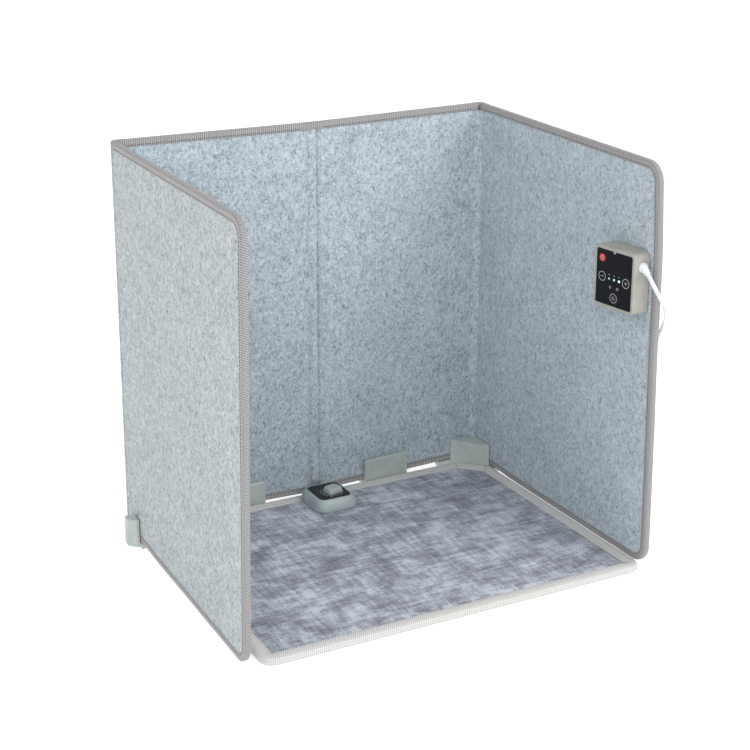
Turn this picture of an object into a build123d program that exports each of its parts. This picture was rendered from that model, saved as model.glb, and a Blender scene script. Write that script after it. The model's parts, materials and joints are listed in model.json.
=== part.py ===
"""A folding felt heating screen for under a desk, with a heated foot mat, in millimetres.

Four stiff felt leaves stand in a U round a plush mat: a wing on each side and a back in two
halves. Two corner supports hold the screen's back corners, and two clips carry the back halves.
The origin is at the middle of the footprint, on the floor, with +Y to the back and +Z up.
"""
import math
import os

from build123d import *

os.makedirs("parts", exist_ok=True)

# Screen
hinge_span = 583            # between the two corner fold axes, on the inner faces
hinge_y = 217.4             # the corner fold axes, behind the middle of the footprint
centre_x = 0.9
wing_length = 458
leaf_bottom = 7             # the floor of the supports' slots
leaf_top = 586
leaf_thickness = 9          # over the binding on both faces
left_splay = 2.0            # degrees that each wing stands out from square
right_splay = 0.1
back_fold = 2.86            # degrees that each back half leans in towards the centre fold
corner_radius = 28
felt = 2.4
film = 0.4
foil = 0.2
film_margin = 24
tape = 0.6                  # thickness of the edge binding on the faces
tape_edge = 1.2             # and round the edge
binding_width = 10.5
fold_gap = 0.5
centre_strip = 12           # width of the soft strip at the centre fold
centre_strip_thickness = 3

# Corner supports and back clips
slot_floor = leaf_bottom - 0.3
support_top = 42
slot_gap = 1.0              # between a leaf's face and the wall beside it
block_wing_leg = 53         # of the block inside the corner, along the wing
block_back_leg = 43
block_end = 8               # its blunt end beside the wing
arm_length = 66             # from the fold axis to the end of each arm
lug_start = 34
lug_end = 57
lug_thickness = 14
lug_chamfer = 10
clip_start = 130            # from the corner fold axis
clip_length = 76
clip_inner_wall = 6.5
clip_outer_wall = 3

# Mat
mat_width = 581
mat_depth = 440
mat_back = hinge_y - 18.2   # its back edge
mat_backing = 1.2
mat_wire = 1.6
mat_foam_bottom = 3.4
mat_foam_top = 5.8
mat_top = 8.2
mat_edge_top = 7.6
mat_binding_ends = 20       # width of the binding along the front and back
mat_binding_sides = 14
mat_front_radius = 20
mat_corner_cut = 41         # the back corners are cut off beside the supports
wire_pitch = 42
wire_margin = 45

# Mat controller
box_width = 66
box_depth = 70
box_height = 18
box_radius = 16
box_wall = 2
box_y = mat_back - 42
knob_skirt = 30
knob_offset = (5, -4)

# Wall controller, on the right wing's inner face
wall_box_along = 403.5        # from the corner fold axis to its middle
wall_box_z = 418
wall_box_width = 74
wall_box_height = 86
wall_box_depth = 33         # at its middle
wall_box_cant = 9           # degrees that its face turns to the front
wall_box_radius = 7
wall_box_wall = 2.2
relief_height = 24          # of the strain relief above the middle
relief_depth = 13.5
relief_droop = 38           # degrees that the cord leaves it below level
relief_flange = 2.6
relief_length = 11

# Lead
cord_diameter = 6
coil_middle_radius = 33
coil_centre = (371, -58)
plug_centre = (343.2, 40.6)


def save(piece, name):
    """Labels a finished piece and writes it as a STEP file of the same name."""
    piece.part.label = name
    export_step(piece.part, f"parts/{name}.step")


def heading(degrees):
    """The level unit vector at this angle from +X."""
    return Vector(math.cos(math.radians(degrees)), math.sin(math.radians(degrees)), 0)


def upright(hinge, outward):
    """The plane of a leaf's inner face: its normal points out of the U and its Y is up."""
    return Plane(origin=hinge, x_dir=Vector(0, 0, 1).cross(outward), z_dir=outward)


left_hinge = Vector(centre_x - hinge_span / 2, hinge_y, 0)
right_hinge = Vector(centre_x + hinge_span / 2, hinge_y, 0)
left_wing_out = heading(180 - left_splay)
right_wing_out = heading(right_splay)
left_back_out = heading(90 - back_fold)
right_back_out = heading(90 + back_fold)

# The centre fold's axis lies on the outer faces of the two back halves.
back_length = hinge_span / 2 / math.cos(math.radians(back_fold))
back_length -= leaf_thickness * math.tan(math.radians(back_fold))
back_end = back_length - centre_strip / 2
centre_axis_y = hinge_y - hinge_span / 2 * math.tan(math.radians(back_fold))
centre_axis_y += leaf_thickness / math.cos(math.radians(back_fold))

# Each leaf: its plane, where it starts and ends along that plane, and which end is free.
leaves = {
    "left_wing": (upright(left_hinge, left_wing_out), fold_gap, wing_length, "end"),
    "left_back": (upright(left_hinge, left_back_out), -back_end, -fold_gap, None),
    "right_back": (upright(right_hinge, right_back_out), fold_gap, back_end, None),
    "right_wing": (upright(right_hinge, right_wing_out), -wing_length, -fold_gap, "start"),
}


def leaf_outline(start, end, free, inset, edge_inset):
    """Draws a leaf in the open sketch, inset from its bound edges; its free corners are round."""
    left = start + (inset if free == "start" else edge_inset)
    right = end - (inset if free == "end" else edge_inset)
    with Locations(((left + right) / 2, (leaf_bottom + leaf_top) / 2)):
        Rectangle(right - left, leaf_top - leaf_bottom - 2 * inset)
    if free and inset < corner_radius:
        ends = vertices().group_by(Axis.X)
        fillet(ends[-1] if free == "end" else ends[0], corner_radius - inset)


def make_leaf(name):
    """The layers of one leaf, from its inner face outwards, and the tape that binds its edges."""
    plane, start, end, free = leaves[name]
    inside = plane.offset(tape)
    with BuildPart() as inner_felt:
        with BuildSketch(inside):
            leaf_outline(start, end, free, tape_edge, 0)
        extrude(amount=felt)
    save(inner_felt, f"{name}_inner_felt")

    with BuildPart() as heating_film:
        with BuildSketch(inside.offset(felt)):
            leaf_outline(start, end, free, film_margin, film_margin)
        extrude(amount=film)
    save(heating_film, f"{name}_heating_film")

    with BuildPart() as reflective_foil:
        with BuildSketch(inside.offset(felt + film)):
            leaf_outline(start, end, free, film_margin, film_margin)
        extrude(amount=foil)
    save(reflective_foil, f"{name}_reflective_foil")

    core_thickness = leaf_thickness - 2 * tape - 2 * felt
    with BuildPart() as core_board:
        with BuildSketch(inside.offset(felt)):
            leaf_outline(start, end, free, tape_edge, 0)
        extrude(amount=core_thickness)
        with BuildSketch(inside.offset(felt)):
            leaf_outline(start, end, free, film_margin, film_margin)
        extrude(amount=film + foil, mode=Mode.SUBTRACT)
    save(core_board, f"{name}_core_board")

    with BuildPart() as outer_felt:
        with BuildSketch(inside.offset(felt + core_thickness)):
            leaf_outline(start, end, free, tape_edge, 0)
        extrude(amount=felt)
    save(outer_felt, f"{name}_outer_felt")

    with BuildPart() as edge_binding:
        with BuildSketch(plane):
            leaf_outline(start, end, free, 0, 0)
        extrude(amount=leaf_thickness)
        with BuildSketch(plane):
            leaf_outline(start, end, free, binding_width, 0)
        extrude(amount=leaf_thickness, mode=Mode.SUBTRACT)
        with BuildSketch(inside):
            leaf_outline(start, end, free, tape_edge, 0)
        extrude(amount=leaf_thickness - 2 * tape, mode=Mode.SUBTRACT)
    save(edge_binding, f"{name}_edge_binding")


for leaf_name in leaves:
    make_leaf(leaf_name)


def make_corner_strip(name, hinge, first_out, last_out):
    """The rounded strip of felt that fills the outer corner round a fold axis."""
    radius = leaf_thickness - tape
    first = hinge + first_out * radius
    last = hinge + last_out * radius
    middle = hinge + (first_out + last_out).normalized() * radius
    with BuildPart() as strip:
        with BuildSketch(Plane.XY.offset(leaf_bottom)):
            with BuildLine():
                Line(hinge, first)
                ThreePointArc(first, middle, last)
                Line(last, hinge)
            make_face()
        extrude(amount=leaf_top - leaf_bottom)
    save(strip, name)


make_corner_strip("left_fold_strip", left_hinge, left_wing_out, left_back_out)
make_corner_strip("right_fold_strip", right_hinge, right_back_out, right_wing_out)

with BuildPart() as centre_fold_strip:
    with BuildSketch(Plane.XY.offset(leaf_bottom)):
        with Locations((centre_x, centre_axis_y - centre_strip_thickness / 2 - 0.4)):
            Rectangle(centre_strip - 1, centre_strip_thickness)
    extrude(amount=leaf_top - leaf_bottom)
save(centre_fold_strip, "centre_fold_strip")


def make_corner_support(name, hinge, wing_out, back_out, side):
    """A moulded foot: a slotted base, a drafted block in the corner and a lug on each outside.

    A place in it is given along the wing and along the back from the fold axis; side is 1 for
    the right corner and -1 for the left.
    """
    up = Vector(0, 0, side)
    along_wing = wing_out.cross(up)
    along_back = up.cross(back_out)

    def place(wing, back):
        return hinge + along_wing * wing + along_back * back

    slot = leaf_thickness + slot_gap
    outer = slot + lug_thickness
    flank = leaf_thickness / math.sqrt(2)
    wing_lug = [
        (lug_end, -slot),
        (lug_end, lug_chamfer - outer),
        (lug_end - lug_chamfer, -outer),
        (lug_start, -outer),
        (lug_start, -slot),
    ]
    arm = [(arm_length, 0), (arm_length, -slot)] + wing_lug[:4]
    arm += [(lug_start, -leaf_thickness), (0, -leaf_thickness)]
    block = [
        (slot_gap, slot_gap),
        (block_wing_leg, slot_gap),
        (block_wing_leg - block_end / 2, block_end),
        (slot_gap, block_back_leg),
    ]
    foot = block[2:0:-1] + arm + [(-flank, -flank)] + [(b, w) for w, b in reversed(arm)]
    foot.append((0, block_back_leg))

    with BuildPart() as support:
        with BuildSketch():
            with BuildLine():
                Polyline([place(*p) for p in foot], close=True)
            make_face()
        extrude(amount=slot_floor)
        with BuildSketch(Plane.XY.offset(slot_floor)):
            with BuildLine():
                Polyline([place(*p) for p in block], close=True)
            make_face()
        extrude(amount=support_top - slot_floor)
        for lug in (wing_lug, [(b, w) for w, b in wing_lug]):
            with BuildSketch(Plane.XY.offset(slot_floor)):
                with BuildLine():
                    Polyline([place(*p) for p in lug], close=True)
                make_face()
            extrude(amount=support_top - slot_floor)
    save(support, name)


make_corner_support("left_corner_support", left_hinge, left_wing_out, left_back_out, -1)
make_corner_support("right_corner_support", right_hinge, right_wing_out, right_back_out, 1)


def make_straight_clip(name, leaf, middle):
    """A U-shaped clip over a back half's bottom edge; middle is along the leaf's plane."""
    plane = leaves[leaf][0]
    foot = Plane(origin=plane.origin, x_dir=plane.x_dir, z_dir=(0, 0, 1))
    inner = slot_gap + clip_inner_wall
    outer = leaf_thickness + slot_gap + clip_outer_wall
    with BuildPart() as clip:
        with BuildSketch(foot):
            with Locations((middle, (inner - outer) / 2)):
                Rectangle(clip_length, inner + outer)
        extrude(amount=support_top)
        with BuildSketch(foot.offset(slot_floor)):
            with Locations((middle, -leaf_thickness / 2)):
                Rectangle(clip_length, leaf_thickness + 2 * slot_gap)
        extrude(amount=support_top, mode=Mode.SUBTRACT)
        top = edges().group_by(Axis.Z)[-1].filter_by(lambda e: e.length > clip_length / 2)
        chamfer(top, 1.2)
    save(clip, name)


make_straight_clip("left_straight_clip", "left_back", -clip_start - clip_length / 2)
make_straight_clip("right_straight_clip", "right_back", clip_start + clip_length / 2)


# Heated mat, from the floor up
def mat_outline(inset_sides, inset_ends):
    """Draws the mat in the open sketch: round front corners, and back corners cut off."""
    width = mat_width - 2 * inset_sides
    depth = mat_depth - 2 * inset_ends
    inset = min(inset_sides, inset_ends)
    with Locations((centre_x, mat_back - mat_depth / 2)):
        Rectangle(width, depth)
    rows = vertices().group_by(Axis.Y)
    chamfer(rows[-1], mat_corner_cut)
    fillet(vertices().group_by(Axis.Y)[0], max(mat_front_radius - inset, 4))


with BuildPart() as mat_back_sheet:
    with BuildSketch():
        mat_outline(tape_edge, tape_edge)
    extrude(amount=mat_backing)
save(mat_back_sheet, "mat_backing")

with BuildPart() as mat_foil:
    with BuildSketch(Plane.XY.offset(mat_backing)):
        mat_outline(mat_binding_ends, mat_binding_ends)
    extrude(amount=foil)
save(mat_foil, "mat_reflective_foil")

with BuildPart() as mat_foam:
    with BuildSketch(Plane.XY.offset(mat_backing)):
        mat_outline(tape_edge, tape_edge)
    extrude(amount=mat_foam_top - mat_backing)
    with BuildSketch(Plane.XY.offset(mat_backing)):
        mat_outline(mat_binding_ends, mat_binding_ends)
    extrude(amount=mat_foam_bottom - mat_backing, mode=Mode.SUBTRACT)
save(mat_foam, "mat_foam")

# The heating wire runs to and fro across the mat in the hollow under the foam.
wire_rows = int((mat_depth - mat_corner_cut - 2 * wire_margin) / wire_pitch) + 1
wire_half = mat_width / 2 - wire_margin
wire_front = mat_back - mat_depth + wire_margin
wire_points = []
for row in range(wire_rows):
    row_y = wire_front + row * wire_pitch
    ends = (-wire_half, wire_half) if row % 2 == 0 else (wire_half, -wire_half)
    wire_points += [(centre_x + x, row_y) for x in ends]
wire_level = Plane.XY.offset(mat_backing + foil + mat_wire / 2)
with BuildPart() as mat_heating_wire:
    with BuildLine(wire_level) as wire_path:
        FilletPolyline(*wire_points, radius=wire_pitch / 2.2)
    with BuildSketch(Plane(origin=wire_path.line @ 0, z_dir=wire_path.line % 0)):
        Circle(mat_wire / 2)
    sweep()
save(mat_heating_wire, "mat_heating_wire")

with BuildPart() as mat_cover:
    with BuildSketch(Plane.XY.offset(mat_foam_top)):
        mat_outline(mat_binding_sides, mat_binding_ends)
    extrude(amount=mat_top - mat_foam_top)
save(mat_cover, "mat_cover")

with BuildPart() as mat_edge_binding:
    with BuildSketch():
        mat_outline(0, 0)
    extrude(amount=mat_edge_top)
    with BuildSketch():
        mat_outline(tape_edge, tape_edge)
    extrude(amount=mat_foam_top, mode=Mode.SUBTRACT)
    with BuildSketch(Plane.XY.offset(mat_foam_top)):
        mat_outline(mat_binding_sides, mat_binding_ends)
    extrude(amount=mat_top, mode=Mode.SUBTRACT)
save(mat_edge_binding, "mat_edge_binding")


# Mat controller, on the mat's back edge
box_centre = (centre_x, box_y)
box_top = mat_top + box_height
face_thickness = 1.4
base_thickness = 2
shaft_place = (centre_x + knob_offset[0], box_y + knob_offset[1])


def box_outline(inset):
    """Draws the mat controller's rounded outline, inset, in the open sketch."""
    with Locations(box_centre):
        RectangleRounded(box_width - 2 * inset, box_depth - 2 * inset, box_radius - inset)


screw_places = [(centre_x + x, box_y + y) for x in (-22, 22) for y in (-24, 24)]

with BuildPart() as mat_control_base:
    with BuildSketch(Plane.XY.offset(mat_top)):
        box_outline(box_wall + 0.2)
    extrude(amount=base_thickness)
    with BuildSketch(Plane.XY.offset(mat_top)):
        with Locations(*screw_places):
            Circle(1.7)
    extrude(amount=base_thickness, mode=Mode.SUBTRACT)
save(mat_control_base, "mat_control_base")

with BuildPart() as mat_control_housing:
    with BuildSketch(Plane.XY.offset(mat_top)):
        box_outline(0)
    extrude(amount=box_height, taper=2.5)
    fillet(edges().group_by(Axis.Z)[-1], 3)
    with BuildSketch(Plane.XY.offset(mat_top)):
        box_outline(box_wall)
    extrude(amount=box_height - 3.4, mode=Mode.SUBTRACT)
    with BuildSketch(Plane.XY.offset(box_top - face_thickness)):
        box_outline(6)
    extrude(amount=face_thickness + 1, mode=Mode.SUBTRACT)
    with BuildSketch(Plane.XY.offset(mat_top)):
        with Locations(shaft_place):
            Circle(4.2)
    extrude(amount=box_height + 1, mode=Mode.SUBTRACT)
    with BuildSketch(Plane.XY.offset(mat_top + base_thickness)):
        with Locations(*screw_places):
            Circle(3)
    extrude(amount=box_height - 3.4 - base_thickness)
    with BuildSketch(Plane.XY.offset(mat_top)):
        with Locations(*screw_places):
            Circle(1.3)
    extrude(amount=10, mode=Mode.SUBTRACT)
    gland_hole = Plane(origin=(centre_x - box_width / 2, box_y + 12, mat_top + 8), z_dir=(-1, 0, 0))
    with BuildSketch(gland_hole.offset(-8)):
        Circle(4)
    extrude(amount=16, mode=Mode.SUBTRACT)
save(mat_control_housing, "mat_control_housing")

with BuildPart() as mat_control_face:
    with BuildSketch(Plane.XY.offset(box_top - face_thickness)):
        box_outline(6.1)
        with Locations(shaft_place):
            Circle(4.2, mode=Mode.SUBTRACT)
    extrude(amount=face_thickness - 0.2)
save(mat_control_face, "mat_control_face")

board_bottom = mat_top + 4.5
with BuildPart() as mat_control_board:
    with BuildSketch(Plane.XY.offset(board_bottom)):
        with Locations(box_centre):
            Rectangle(36, 50)
        with Locations(*screw_places):
            Circle(3.6, mode=Mode.SUBTRACT)
    extrude(amount=1.6)
save(mat_control_board, "mat_control_board")

with BuildPart() as mat_control_potentiometer:
    with BuildSketch(Plane.XY.offset(board_bottom + 1.6)):
        with Locations(shaft_place):
            RectangleRounded(15, 15, 3)
    extrude(amount=5.4)
    with BuildSketch(Plane.XY.offset(board_bottom + 7)):
        with Locations(shaft_place):
            Circle(3.9)
    extrude(amount=5.4)
    with BuildSketch(Plane.XY.offset(board_bottom + 4)):
        with Locations(shaft_place):
            Circle(2.4)
    extrude(amount=10, mode=Mode.SUBTRACT)
save(mat_control_potentiometer, "mat_control_potentiometer")

with BuildPart() as mat_control_screws:
    with BuildSketch(Plane.XY.offset(mat_top + 0.1)):
        with Locations(*screw_places):
            Circle(1.2)
    extrude(amount=8.5)
save(mat_control_screws, "mat_control_screws")

with BuildPart() as mat_cord_gland:
    with BuildSketch(gland_hole.offset(-5)):
        Circle(3.9)
    extrude(amount=7)
    with BuildSketch(gland_hole.offset(0.4)):
        Circle(5)
    extrude(amount=1.6)
    with BuildSketch(gland_hole.offset(-5)):
        Circle(2)
    extrude(amount=8, mode=Mode.SUBTRACT)
save(mat_cord_gland, "mat_cord_gland")

knob_bottom = box_top + 0.5
with BuildPart() as mat_control_shaft:
    with BuildSketch(Plane.XY.offset(board_bottom + 4.3)):
        with Locations(shaft_place):
            Circle(2)
    extrude(amount=knob_bottom + 7 - board_bottom - 4.3)
save(mat_control_shaft, "mat_control_shaft")

with BuildPart() as mat_control_knob:
    with BuildSketch(Plane.XY.offset(knob_bottom)):
        with Locations(shaft_place):
            Circle(knob_skirt / 2)
    extrude(amount=2)
    with BuildSketch(Plane.XY.offset(knob_bottom + 2)):
        with Locations(shaft_place):
            RectangleRounded(17, 21, 5)
    extrude(amount=8, taper=8)
    fillet(edges().group_by(Axis.Z)[-1], 1.5)
    with BuildSketch(Plane.XY.offset(knob_bottom)):
        with Locations(shaft_place):
            Circle(2.1)
    extrude(amount=7.2, mode=Mode.SUBTRACT)
save(mat_control_knob, "mat_control_knob")


# Wall controller: its plane lies on the wing's inner face, with X to the front and Z inwards
wing_forward = Vector(0, 0, 1).cross(right_wing_out) * -1
wall_origin = right_hinge + wing_forward * wall_box_along + right_wing_out * tape
wall_origin += Vector(0, 0, wall_box_z)
wall = Plane(origin=wall_origin, x_dir=wing_forward, z_dir=right_wing_out * -1)
mount_thickness = 2.5
back_thickness = 2.5
face_normal = wall.z_dir.rotate(Axis.Z, wall_box_cant)
face_plane = Plane(
    origin=wall.from_local_coords((0, 0, wall_box_depth)),
    x_dir=Vector(0, 0, 1).cross(face_normal),
    z_dir=face_normal,
)
deepest = wall_box_depth + wall_box_width / 2
wall_screws = [(x, y) for x in (-29, 29) for y in (-33, 33)]
relief_plane = Plane(
    origin=wall.from_local_coords((wall_box_width / 2, relief_height, relief_depth)),
    x_dir=(0, 0, 1),
    z_dir=wing_forward,
)
relief_way = relief_plane.z_dir * math.cos(math.radians(relief_droop))
relief_way -= Vector(0, 0, math.sin(math.radians(relief_droop)))
relief_axis = Plane(origin=relief_plane.from_local_coords((0, 0, relief_flange)), z_dir=relief_way)


def wall_outline(inset):
    """Draws the wall controller's rounded outline, inset, in the open sketch."""
    RectangleRounded(
        wall_box_width - 2 * inset, wall_box_height - 2 * inset, wall_box_radius - inset
    )


with BuildPart() as wall_control_mount:
    with BuildSketch(wall):
        RectangleRounded(54, 60, 6)
        with Locations((0, 14), (0, -14)):
            Circle(2, mode=Mode.SUBTRACT)
    extrude(amount=mount_thickness)
save(wall_control_mount, "wall_control_mount")

with BuildPart() as wall_control_back:
    with BuildSketch(wall.offset(mount_thickness)):
        wall_outline(wall_box_wall + 0.2)
        with Locations(*wall_screws):
            Circle(1.7, mode=Mode.SUBTRACT)
    extrude(amount=back_thickness)
save(wall_control_back, "wall_control_back")

with BuildPart() as wall_cavity:
    with BuildSketch(wall.offset(mount_thickness - 1)):
        wall_outline(wall_box_wall)
    extrude(amount=deepest)
    split(bisect_by=face_plane.offset(-3.2), keep=Keep.BOTTOM)

with BuildPart() as wall_control_housing:
    with BuildSketch(wall.offset(mount_thickness)):
        wall_outline(0)
    extrude(amount=deepest)
    split(bisect_by=face_plane, keep=Keep.BOTTOM)
    rim = faces().sort_by_distance(face_plane.origin)[0].edges()
    fillet(rim, 1.8)
    add(wall_cavity.part, mode=Mode.SUBTRACT)
    with BuildSketch(wall.offset(mount_thickness + back_thickness)):
        with Locations(*wall_screws):
            Circle(3)
        with GridLocations(66, 66, 2, 2):
            Rectangle(6, 2)
    extrude(amount=15)
    with BuildSketch(wall.offset(mount_thickness)):
        with Locations(*wall_screws):
            Circle(1.3)
    extrude(amount=14, mode=Mode.SUBTRACT)
    with BuildSketch(face_plane.offset(-1.2)):
        RectangleRounded(67, 77, 3)
    extrude(amount=3, mode=Mode.SUBTRACT)
    with BuildSketch(relief_plane.offset(-6)):
        Circle(4)
    extrude(amount=8, mode=Mode.SUBTRACT)
save(wall_control_housing, "wall_control_housing")

with BuildPart() as wall_control_face:
    with BuildSketch(face_plane.offset(-1.1)):
        RectangleRounded(66.7, 76.7, 2.9)
        with Locations((0, 76.7 / 2)):
            Rectangle(3.4, 6, mode=Mode.SUBTRACT)
    extrude(amount=1)
save(wall_control_face, "wall_control_face")

with BuildPart() as wall_control_board:
    with BuildSketch(wall.offset(9)):
        Rectangle(62, 70)
        with GridLocations(62, 70, 2, 2):
            Rectangle(11, 11, mode=Mode.SUBTRACT)
    extrude(amount=1.6)
save(wall_control_board, "wall_control_board")

with BuildPart() as wall_control_relay:
    with BuildSketch(wall.offset(10.6)):
        with Locations((-16, -14)):
            Rectangle(15, 19)
    extrude(amount=12)
    with BuildSketch(wall.offset(10.6)):
        with Locations((12, -16)):
            Circle(5)
    extrude(amount=10)
save(wall_control_relay, "wall_control_relay")

with BuildPart() as wall_control_leds:
    with BuildSketch(wall.offset(10.6)):
        with Locations((-8, 3), (0, 3), (8, 3)):
            Circle(1.5)
    extrude(amount=11)
save(wall_control_leds, "wall_control_leds")

with BuildPart() as wall_control_screws:
    with BuildSketch(wall.offset(mount_thickness + 0.1)):
        with Locations(*wall_screws):
            Circle(1.2)
    extrude(amount=12)
save(wall_control_screws, "wall_control_screws")

with BuildPart() as wall_control_strain_relief:
    with BuildSketch(relief_axis.offset(-2)):
        Circle(5.6)
    extrude(amount=relief_length + 2, taper=6)
    split(bisect_by=relief_plane.offset(0.2), keep=Keep.TOP)
    with BuildSketch(relief_plane.offset(0.2)):
        Circle(7)
    extrude(amount=relief_flange - 0.2)
    with BuildSketch(relief_plane.offset(-4)):
        Circle(3.9)
    extrude(amount=4.2)
save(wall_control_strain_relief, "wall_control_strain_relief")


# Lead: from the strain relief round the wing's front edge, down its outside and to the coil
relief_end = relief_axis.from_local_coords((0, 0, relief_length))
lead_points = [
    relief_end,
    relief_end + relief_way * 8.6,
    (281.4, -245.8, 423.7),
    (283.9, -250.0, 416.0),
    (288.0, -252.6, 407.8),
    (293.3, -253.4, 399.2),
    (299.3, -251.6, 389.5),
    (304.8, -247.6, 379.6),
    (308.9, -241.6, 369.0),
    (311.2, -234.2, 357.0),
    (312.2, -225.5, 343.0),
    (312.6, -216.5, 326.0),
    (312.8, -208.5, 303.0),
    (313.0, -203.0, 273.0),
    (313.2, -198.8, 238.0),
    (313.6, -195.0, 200.0),
    (314.2, -191.0, 160.0),
    (315.6, -186.5, 120.0),
    (318.2, -180.0, 84.0),
    (322.0, -171.0, 52.0),
    (327.0, -158.0, 25.0),
    (331.6, -141.0, 8.5),
    (334.6, -122.0, 3.2),
    (335.4, -101.0, 3.2),
    (335.2, -80.4, 3.2),
]
tail_points = [
    (335.0, -35.4, 15.2),
    (335.3, -22.0, 14.6),
    (336.8, -6.0, 11.6),
    (339.4, 10.0, 8.8),
    (342.2, 26.0, 8.0),
    (343.2, 40.0, 8.6),
]


def cord_radii(points):
    """For each corner of a route, 0.45 of the shorter run over the tangent of half the turn."""
    spots = [Vector(*p) for p in points]
    radii = []
    for before, at, after in zip(spots, spots[1:], spots[2:]):
        turn = math.radians((at - before).get_angle(after - at))
        shorter = min((at - before).length, (after - at).length)
        radii.append(0.45 * shorter / math.tan(turn / 2))
    return radii


def make_cord_tube(points):
    """A tube of the cord's diameter along a route of straight runs joined by arcs."""
    radii = cord_radii(points)
    print("radii", [round(r) for r in radii])
    with BuildPart() as tube:
        with BuildLine() as route:
            FilletPolyline(*points, radius=radii)
        with BuildSketch(Plane(origin=route.line @ 0, z_dir=route.line % 0)):
            Circle(cord_diameter / 2)
        sweep()
    length = sum(edge.length for edge in route.edges())
    print("length", round(length), "volume", round(tube.part.volume))
    print("section times length", round(math.pi * cord_diameter**2 / 4 * length))
    return tube


lead_run = make_cord_tube(lead_points)
lead_tail = make_cord_tube(tail_points)
with BuildPart() as lead:
    add(lead_run.part)
    add(lead_tail.part)
save(lead, "lead_run")

with BuildPart() as lead_coil:
    with BuildSketch():
        with Locations(coil_centre):
            Circle(coil_middle_radius + cord_diameter)
            Circle(coil_middle_radius - cord_diameter, mode=Mode.SUBTRACT)
    extrude(amount=3 * cord_diameter)
save(lead_coil, "lead_coil")

plug_plane = Plane(origin=(*plug_centre, 8.6), x_dir=(1, 0, 0), z_dir=(0, 1, 0))
with BuildPart() as plug_body:
    with BuildSketch(plug_plane):
        Circle(4.6)
    extrude(amount=12, taper=-6)
    with BuildSketch(plug_plane.offset(12)):
        RectangleRounded(26, 17, 5)
    extrude(amount=24)
    fillet(edges().group_by(Axis.Y)[-1], 2)
save(plug_body, "plug_body")

with BuildPart() as plug_pins:
    with BuildSketch(plug_plane.offset(36)):
        with Locations((-6.35, 0), (6.35, 0)):
            Rectangle(1.5, 6.5)
    extrude(amount=17)
save(plug_pins, "plug_pins")
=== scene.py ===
"""Looks of a folding felt heating screen and its heated mat, round the CAD frame, in metres."""
import json
import math

import bmesh
import bpy
from mathutils import Matrix, Vector, noise


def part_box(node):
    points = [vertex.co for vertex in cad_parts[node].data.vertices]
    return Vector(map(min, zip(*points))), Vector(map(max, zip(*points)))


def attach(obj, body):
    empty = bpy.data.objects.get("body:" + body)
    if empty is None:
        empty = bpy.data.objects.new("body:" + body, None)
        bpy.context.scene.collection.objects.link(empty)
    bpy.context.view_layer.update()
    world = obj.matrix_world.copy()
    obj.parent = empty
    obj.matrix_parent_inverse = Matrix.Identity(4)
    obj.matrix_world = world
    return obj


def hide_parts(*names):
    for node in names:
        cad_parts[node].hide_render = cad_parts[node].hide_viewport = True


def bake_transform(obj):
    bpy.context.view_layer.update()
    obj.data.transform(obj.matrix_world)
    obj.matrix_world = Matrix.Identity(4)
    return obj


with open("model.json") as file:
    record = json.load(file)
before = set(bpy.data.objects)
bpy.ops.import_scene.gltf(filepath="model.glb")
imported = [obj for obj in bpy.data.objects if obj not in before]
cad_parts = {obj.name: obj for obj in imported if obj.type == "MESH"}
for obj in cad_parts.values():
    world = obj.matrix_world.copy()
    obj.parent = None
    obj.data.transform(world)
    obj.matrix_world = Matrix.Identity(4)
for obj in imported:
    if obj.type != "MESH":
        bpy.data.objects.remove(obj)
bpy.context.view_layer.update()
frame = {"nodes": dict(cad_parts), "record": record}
nodes = frame["nodes"]

MM = 0.001
UP = Vector((0, 0, 1))

# The screen, as the CAD has it
CENTRE_X = 0.0009
HINGE_SPAN = 0.583
HINGE_Y = 0.2174
WING_LENGTH = 0.458
LEAF_BOTTOM = 0.007
LEAF_TOP = 0.586
LEAF_THICKNESS = 0.009
LEFT_SPLAY = 2.0
RIGHT_SPLAY = 0.1
BACK_FOLD = 2.86
CORNER_RADIUS = 0.028
TAPE = 0.0006
TAPE_EDGE = 0.0012
FELT = 0.0024
FILM = 0.0004
FOIL = 0.0002
FILM_MARGIN = 0.024
FOLD_GAP = 0.0005
CENTRE_STRIP = 0.012
STRIP_END = 0.0105          # the fold strips stop under the tape
CHAMFER = 0.0085            # reach of the soft strip in each inner corner
SKIN = 0.0014               # thickness of a fold's skin and lining
WING_SAG = 0.0013           # how far a wing's lower edge hangs below the CAD's
EDGE_STEP = 0.004           # spacing of places along a bound edge
STITCH_INSET = 0.0084       # from the edge in to the seam
STITCH_END = 0.012          # the seam stops this far short of a fold
STITCH_SPACING = 0.0052
STITCH_DEPTH = 0.00435      # from the leaf's middle out to its stitches
LEFT_LEAN = 0.0070          # how far the left wing's free top corner leans in

# The mat, the controllers and the lead
MAT_LOW, MAT_HIGH = (Vector(v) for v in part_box("mat_edge_binding"))
MAT_CORNER_CUT = 0.041
MAT_FRONT_RADIUS = 0.020
MAT_SPREAD = 0.0042         # how far the mat's right side follows the bowed wing
KNOB_TURN = 12              # degrees that the knob points away from the box's side
WALL_FACE = (66.7, 76.7)    # the black face's width and height, mm
CORD = 0.006


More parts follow.
